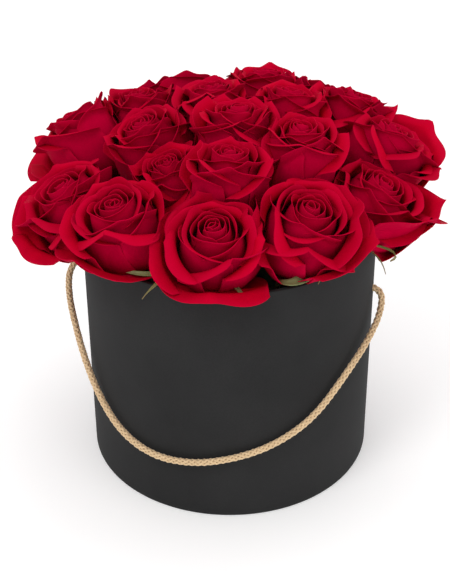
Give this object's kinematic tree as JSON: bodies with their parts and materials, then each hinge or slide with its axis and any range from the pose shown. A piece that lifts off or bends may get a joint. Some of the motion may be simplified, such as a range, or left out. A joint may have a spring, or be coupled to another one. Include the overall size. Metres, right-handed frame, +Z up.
{
  "type": "flower box",
  "caption": "Round paper-covered hat box with a rope handle, filled with a domed arrangement of red roses standing in wet foam.",
  "frame": {"origin": "centre of the underside of the box, on the surface it stands on", "axes": "+Z up along the axis of the box; the two rope holes lie on the X axis; the rope loop hangs on the -Y side, the front"},
  "size_m": [0.276, 0.2526, 0.2595],
  "materials": {
    "black_wrap": "matte black textured wrapping paper",
    "grey_board": "raw grey board",
    "black_lining": "matte black lining paper",
    "jute_rope": "twisted natural jute",
    "black_liner": "thin black plastic tub",
    "wet_foam": "soaked green floral foam",
    "rose_petals": "velvety crimson petals",
    "rose_green": "fresh green stem, hip and sepals"
  },
  "bodies": {
    "box": {"box_tube": "grey_board", "box_wrap": "black_wrap", "box_lining": "black_lining", "base_disc": "grey_board", "base_cover": "black_wrap"},
    "handle": {"rope_handle": "jute_rope", "knot_left": "jute_rope", "knot_right": "jute_rope"},
    "arrangement": {"waterproof_liner": "black_liner", "foam_left": "wet_foam", "foam_right": "wet_foam", "rose_01_bloom": "rose_petals", "rose_02_bloom": "rose_petals", "rose_03_bloom": "rose_petals", "rose_04_bloom": "rose_petals", "rose_05_bloom": "rose_petals", "rose_06_bloom": "rose_petals", "rose_07_bloom": "rose_petals", "rose_08_bloom": "rose_petals", "rose_09_bloom": "rose_petals", "rose_10_bloom": "rose_petals", "rose_11_bloom": "rose_petals", "rose_12_bloom": "rose_petals", "rose_13_bloom": "rose_petals", "rose_14_bloom": "rose_petals", "rose_15_bloom": "rose_petals", "rose_16_bloom": "rose_petals", "rose_17_bloom": "rose_petals", "rose_18_bloom": "rose_petals", "rose_19_bloom": "rose_petals", "rose_01_stem": "rose_green", "rose_02_stem": "rose_green", "rose_03_stem": "rose_green", "rose_04_stem": "rose_green", "rose_05_stem": "rose_green", "rose_06_stem": "rose_green", "rose_07_stem": "rose_green", "rose_08_stem": "rose_green", "rose_09_stem": "rose_green", "rose_10_stem": "rose_green", "rose_11_stem": "rose_green", "rose_12_stem": "rose_green", "rose_13_stem": "rose_green", "rose_14_stem": "rose_green", "rose_15_stem": "rose_green", "rose_16_stem": "rose_green", "rose_17_stem": "rose_green", "rose_18_stem": "rose_green", "rose_19_stem": "rose_green"}
  },
  "joints": [
    {"name": "handle_swing", "type": "hinge", "parent": "box", "child": "handle", "pos_m": [0, 0, 0.136], "axis": [-1, 0, 0], "range_deg": [0, 45]},
    {"name": "arrangement_lift", "type": "slide", "parent": "box", "child": "arrangement", "axis": [0, 0, 1], "range_m": [0, 0.2]}
  ]
}
